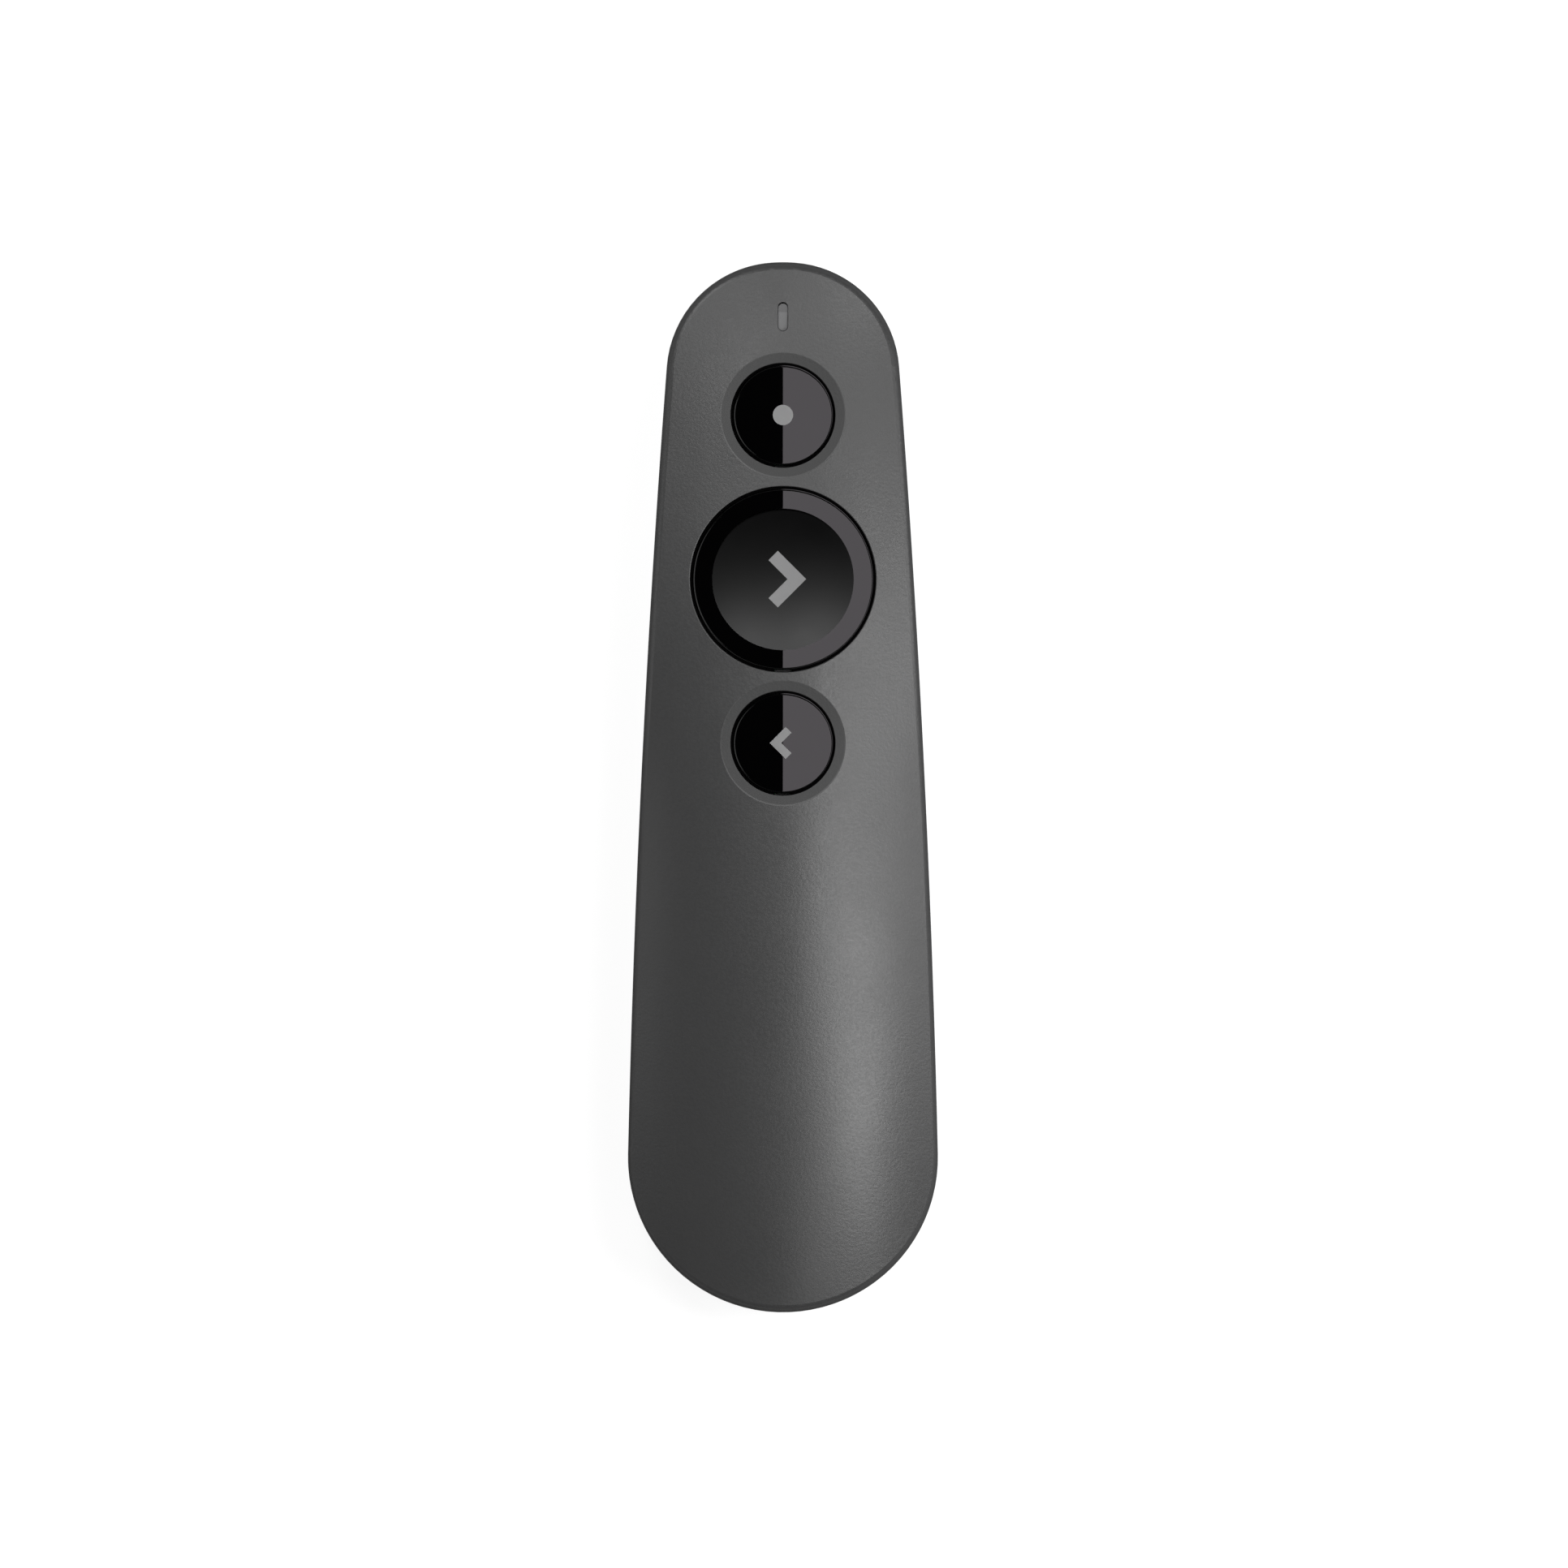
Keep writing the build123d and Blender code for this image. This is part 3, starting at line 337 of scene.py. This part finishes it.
# ---------------------------------------------------------------- cells and their contacts
# Two size-AAA cells, each the other way round, in a plain printed film that leaves the steel
# bare at both ends and has a light band by the plus end. The contacts are nickel-plated spring
# steel.
film_black = (0.02, 0.021, 0.024)
band_silver = (0.42, 0.42, 0.43)
cell_steel = (0.6, 0.6, 0.6)
bare_at_plus = 2.2 * mm
bare_at_minus = 0.9 * mm
band_middle = 6.2 * mm
band_half = 3.0 * mm
nickel = rolled("nickel_plate", (0.68, 0.65, 0.59), 0.14, 0.26)
dress(nickel, "positive_contact", "negative_contact", "negative_spring")
dress(nickel, "bridge_contact", "bridge_spring")
for name in ("battery_left", "battery_right"):
    low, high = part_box(name)
    beside_plus = middle_of(name).x * middle_of("positive_contact").x > 0
    plus_at_nose = beside_plus == (middle_of("positive_contact").y > middle_of(name).y)
    plus_y, minus_y = (high.y, low.y) if plus_at_nose else (low.y, high.y)
    inwards = math.copysign(1, minus_y - plus_y)
    film = finish(name + "_film", film_black, (0.16, 0.26), grain_size=0.5, depth=0.001)
    tree = film.node_tree
    split = node(tree, "SeparateXYZ")
    tree.links.new(node(tree, "TexCoord").outputs["Object"], split.inputs["Vector"])

    def near(y, reach):
        """A mask that is 1 less than reach away from y along the cell."""
        away = calculate(tree, "SUBTRACT", split.outputs["Y"], y)
        return calculate(tree, "LESS_THAN", calculate(tree, "ABSOLUTE", away, 0.0), reach)

    recolour(film, near(plus_y + inwards * band_middle, band_half), band_silver)
    bare = calculate(tree, "MAXIMUM", near(plus_y, bare_at_plus), near(minus_y, bare_at_minus))
    recolour(film, bare, cell_steel)
    tree.links.new(bare, tree.nodes["Principled BSDF"].inputs["Metallic"])
    dress(film, name)

# ---------------------------------------------------------------- receiver in its dock
# The receiver lies in a dock in the tail, held by friction: a black moulded grip and contact
# board, a folded nickel-plated shell, and four gold contacts.
dress(moulded, "receiver_housing", "receiver_board")
dress(nickel, "receiver_plug_shell")
dress(gold, "receiver_contacts")

# ---------------------------------------------------------------- buttons and their signs
# Three caps of polished black plastic, whose hidden flanges are left dull. The large one is a
# ring round a dished pad with a satin finish. The signs are printed in light grey: a dot for
# the laser, and an arrow head each way.
polished_black = (0.0012, 0.0012, 0.0013)
satin_black = (0.004, 0.004, 0.0042)
ink_grey = (0.26, 0.26, 0.262)
ink_thickness = 0.02 * mm
ink_step = 0.35 * mm
merge_reach = 1e-4 * mm
dot_radius = 1.27 * mm
small_cap = 6.2 * mm
large_cap = 11.25 * mm
flange_rough = 0.95
polished = finish("polished_black", polished_black, (0.0, 0.02), grain_size=3.0, depth=0.0001)
capped = round_buttons(polished.node_tree, small_cap, large_cap)
hidden = calculate(polished.node_tree, "SUBTRACT", 1.0, capped)
roughen(polished, hidden, flange_rough)
dress(polished, "laser_button", "next_button", "back_button")
satin = finish("satin_black", satin_black, (0.36, 0.42), grain_size=0.12, depth=0.002)
dress(satin, "next_button_pad")
ink = finish("grey_ink", ink_grey, (0.5, 0.6), grain_size=0.08, depth=0.001, vary=0.03)


def print_sign(name, bm, cap, body):
    """Lays a flat mesh on a cap's face: cuts it small, drops it there and gives it thickness."""
    for axis in (0, 1):
        low = min(v.co[axis] for v in bm.verts)
        high = max(v.co[axis] for v in bm.verts)
        cuts = math.ceil((high - low) / ink_step)
        for i in range(1, cuts):
            point, normal = Vector(), Vector()
            point[axis] = low + (high - low) * i / cuts
            normal[axis] = 1.0
            parts = bm.verts[:] + bm.edges[:] + bm.faces[:]
            bmesh.ops.bisect_plane(
                bm, geom=parts, dist=merge_reach, plane_co=point, plane_no=normal
            )
    for v in bm.verts:
        above = Vector((v.co.x, v.co.y, camera_height))
        hit, spot, _, _ = nodes[cap].ray_cast(above, Vector((0, 0, -1)))
        v.co.z = spot.z - ink_thickness
    skin = bmesh.ops.extrude_face_region(bm, geom=bm.faces[:])["geom"]
    raised = [v for v in skin if isinstance(v, bmesh.types.BMVert)]
    bmesh.ops.translate(bm, vec=(0, 0, 1.5 * ink_thickness), verts=raised)
    bmesh.ops.recalc_face_normals(bm, faces=bm.faces)
    data = bpy.data.meshes.new(name)
    bm.to_mesh(data)
    bm.free()
    data.materials.append(ink)
    sign = bpy.data.objects.new(name, data)
    scene.collection.objects.link(sign)
    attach(sign, body)


def arrow_head(middle, tip_x, half_height, stroke, way):
    """A flat arrow head with square-cut arms at 45 degrees. Its tip points to +x (way 1) or -x."""
    arm = stroke / math.sqrt(2)
    tip, notch = (0, 0), (-2 * arm, 0)
    outer, inner = (-half_height, half_height), (-half_height - arm, half_height - arm)
    corners = [tip, outer, inner, notch, (inner[0], -inner[1]), (outer[0], -outer[1])]
    bm = bmesh.new()
    tip_at = middle.x + tip_x
    bm.faces.new([bm.verts.new((tip_at + way * x, middle.y + y, 0)) for x, y in corners])
    return bm


next_arrow = {"tip_x": 2.9 * mm, "half_height": 3.54 * mm, "stroke": 1.65 * mm, "way": 1}
back_arrow = {"tip_x": -1.66 * mm, "half_height": 2.0 * mm, "stroke": 1.02 * mm, "way": -1}
dot = bmesh.new()
bmesh.ops.create_circle(dot, cap_ends=True, radius=dot_radius, segments=64)
bmesh.ops.translate(dot, vec=middle_of("laser_button"), verts=dot.verts)
print_sign("laser_sign", dot, "laser_button", "laser_button_body")
forward = arrow_head(middle_of("next_button"), **next_arrow)
print_sign("next_sign", forward, "next_button_pad", "next_button_body")
backward = arrow_head(middle_of("back_button"), **back_arrow)
print_sign("back_sign", backward, "back_button", "back_button_body")

# ---------------------------------------------------------------- indicator light
# A frosted clear pin that carries the diode's light up to a slot in the nose. Its nose end is
# painted darker: a painted shadow of the slot's wall, which stands above the sunk pin.
pipe_grey = (0.165, 0.165, 0.168)
pipe_shadow_grey = (0.118, 0.118, 0.12)
shadow_from = 59.3 * mm
shadow_full_at = 59.5 * mm
frosted = finish("frosted_plastic", pipe_grey, (0.3, 0.38), grain_size=0.2, depth=0.002)
tree = frosted.node_tree
place = node(tree, "SeparateXYZ")
nose_shadow = node(tree, "MapRange", From_Min=shadow_from, From_Max=shadow_full_at)
tree.links.new(node(tree, "TexCoord").outputs["Object"], place.inputs["Vector"])
tree.links.new(place.outputs["Y"], nose_shadow.inputs["Value"])
# Painted shadow: the pin's nose end is coloured a darker grey, as though shaded by the slot's
# wall.
recolour(frosted, nose_shadow.outputs["Result"], pipe_shadow_grey)
dress(frosted, "led_light_pipe")


# ---------------------------------------------------------------- light
# Plain soft boxes stand round the table, most of them to the right, and light the coat. The
# polished caps and the dished pad have boxes of their own: the caps' is a wide board whose edge
# is right above their middle.
caps = ("laser_button", "next_button", "back_button")
pad = "next_button_pad"
case_aim = (0, 0, 0.02)
nose_aim = (0, 0.065, 0.02)
grip_aim = (0, -0.03, 0.02)
waist_aim = (0, -0.01, 0.02)


def soft_box(name, spot, aim, size, radiance):
    """A rectangular lamp of this size (in metres) that faces its aim."""
    lamp = bpy.data.lights.new(name, "AREA")
    lamp.shape = "RECTANGLE"
    lamp.size, lamp.size_y = size
    lamp.energy = radiance * math.pi * size[0] * size[1]
    made = bpy.data.objects.new(name, lamp)
    made.location = spot
    made.rotation_mode = "QUATERNION"
    made.rotation_quaternion = (Vector(aim) - Vector(spot)).to_track_quat("-Z", "Y")
    made.visible_camera = False
    scene.collection.objects.link(made)
    return made


def linked(name, state, *members):
    """A collection whose members light linking takes in (INCLUDE) or leaves out (EXCLUDE)."""
    chosen = bpy.data.collections.new(name)
    for member in members:
        chosen.objects.link(member)
    for entry in chosen.collection_objects:
        entry.light_linking.link_state = state
    return chosen


def light_only(source, state, *names):
    """The source lights these nodes alone (INCLUDE), or all but these (EXCLUDE)."""
    chosen = linked(source.name + "_lights", state, *(nodes[name] for name in names))
    source.light_linking.receiver_collection = chosen


for name, spot, aim, side, radiance in (
    ("ceiling_middle", (0.17, 0, 0.68), case_aim, 0.12, 6.6),
    ("ceiling_left", (-0.08, 0.15, 0.68), case_aim, 0.12, 7.9),
    ("ceiling_right", (0.15, 0.27, 0.63), case_aim, 0.16, 8.0),
    ("tail_right", (0.15, -0.27, 0.63), case_aim, 0.16, 2.2),
    ("right_high", (0.45, 0, 0.54), case_aim, 0.2, 4.0),
    ("right_middle", (0.59, 0, 0.37), case_aim, 0.25, 3.4),
    ("left_middle", (-0.59, 0, 0.37), case_aim, 0.25, 1.2),
    ("nose_box", (-0.1, 0.16, 0.2), nose_aim, 0.09, 5.0),
    ("grip_box", (0.14, -0.08, 0.25), grip_aim, 0.09, 7.2),
    ("waist_box", (0.1, -0.02, 0.28), waist_aim, 0.09, 3.3),
):
    light_only(soft_box(name, spot, aim, (side, side), radiance), "EXCLUDE", *caps, pad)

board_half = 0.75
board_height = 0.9
board_size = (2 * board_half, 1.2)
board_tint = (1.0, 0.94, 1.0)
board_spot = (board_half, 0, board_height)
cap_board = soft_box("cap_board", board_spot, (board_half, 0, 0), board_size, 2.05)
cap_board.data.color = board_tint
cap_glow = soft_box("cap_glow", (-0.6, 0, 0.45), case_aim, (0.5, 1.0), 0.9)
for lamp in (cap_board, cap_glow):
    light_only(lamp, "INCLUDE", *caps)
pad_side = 0.16
for name, spot, radiance in (
    ("pad_left", (-0.15, 0.27, 0.63), 10.9),
    ("pad_right", (0.15, 0.27, 0.63), 8.8),
):
    lamp = soft_box(name, spot, case_aim, (pad_side, pad_side), radiance)
    light_only(lamp, "INCLUDE", pad)

# ---------------------------------------------------------------- backdrop
# A white backdrop stands low round the table, and the room above it is dark. The camera, metal
# and glass see it white, and its own light is faint.
backdrop_top = 0.35
backdrop_glow = 0.3


def clear_and_glossy(tree):
    """Two masks: camera or transmission rays, and glossy rays."""
    rays = node(tree, "LightPath").outputs
    clear_view = calculate(tree, "MAXIMUM", rays["Is Camera Ray"], rays["Is Transmission Ray"])
    return clear_view, rays["Is Glossy Ray"]


sky = bpy.data.worlds.new("studio")
sky.use_nodes = True
tree = sky.node_tree
clear_view, mirrored = clear_and_glossy(tree)
direction = node(tree, "SeparateXYZ")
height = node(tree, "MapRange", From_Min=0.0, From_Max=backdrop_top, To_Min=1.0, To_Max=0.0)
tree.links.new(node(tree, "TexCoord").outputs["Generated"], direction.inputs["Vector"])
tree.links.new(direction.outputs["Z"], height.inputs["Value"])
share = calculate(tree, "MAXIMUM", mirrored, backdrop_glow)
glow = calculate(tree, "MULTIPLY", height.outputs["Result"], share)
tree.nodes["Background"].inputs["Color"].default_value = (1, 1, 1, 1)
level = calculate(tree, "MAXIMUM", clear_view, glow)
tree.links.new(level, tree.nodes["Background"].inputs["Strength"])
scene.world = sky

# ---------------------------------------------------------------- floor
# A table top of white paper, which the camera, metal and glass see white. The coated shells
# don't mirror it, as with a black card laid round the case. From below it is clear, and a small
# lamp under it shines through on the underside.
floor_half = 3.0
floor_gap = 0.05 * mm
paper_grey = 0.3
paper_rough = 0.9
paper_glow = 0.9
bm = bmesh.new()
bmesh.ops.create_grid(bm, x_segments=1, y_segments=1, size=floor_half)
bmesh.ops.translate(bm, vec=(0, 0, -floor_gap), verts=bm.verts)
data = bpy.data.meshes.new("floor")
bm.to_mesh(data)
bm.free()
floor = bpy.data.objects.new("floor", data)
scene.collection.objects.link(floor)
light_only(floor, "EXCLUDE", "top_shell", "bottom_shell", "battery_door", "door_latch")

paper = bpy.data.materials.new("white_paper")
paper.use_nodes = True
tree = paper.node_tree
shader = tree.nodes["Principled BSDF"]
shader.inputs["Base Color"].default_value = (paper_grey, paper_grey, paper_grey, 1)
shader.inputs["Roughness"].default_value = paper_rough
shader.inputs["Emission Color"].default_value = (1, 1, 1, 1)
seen = calculate(tree, "MAXIMUM", *clear_and_glossy(tree))
glow = calculate(tree, "MULTIPLY", seen, paper_glow)
tree.links.new(glow, shader.inputs["Emission Strength"])
one_sided = node(tree, "MixShader")
tree.links.new(node(tree, "NewGeometry").outputs["Backfacing"], one_sided.inputs["Fac"])
tree.links.new(shader.outputs["BSDF"], one_sided.inputs[1])
tree.links.new(node(tree, "BsdfTransparent").outputs["BSDF"], one_sided.inputs[2])
tree.links.new(one_sided.outputs["Shader"], tree.nodes["Material Output"].inputs["Surface"])
data.materials.append(paper)

under_lamp = soft_box("under_lamp", (0, 0, -0.8), (0, 0, 0), (0.2, 0.2), 75.0)
under_lamp.visible_glossy = False
past_floor = linked("under_lamp_past_floor", "EXCLUDE", floor)
under_lamp.light_linking.blocker_collection = past_floor
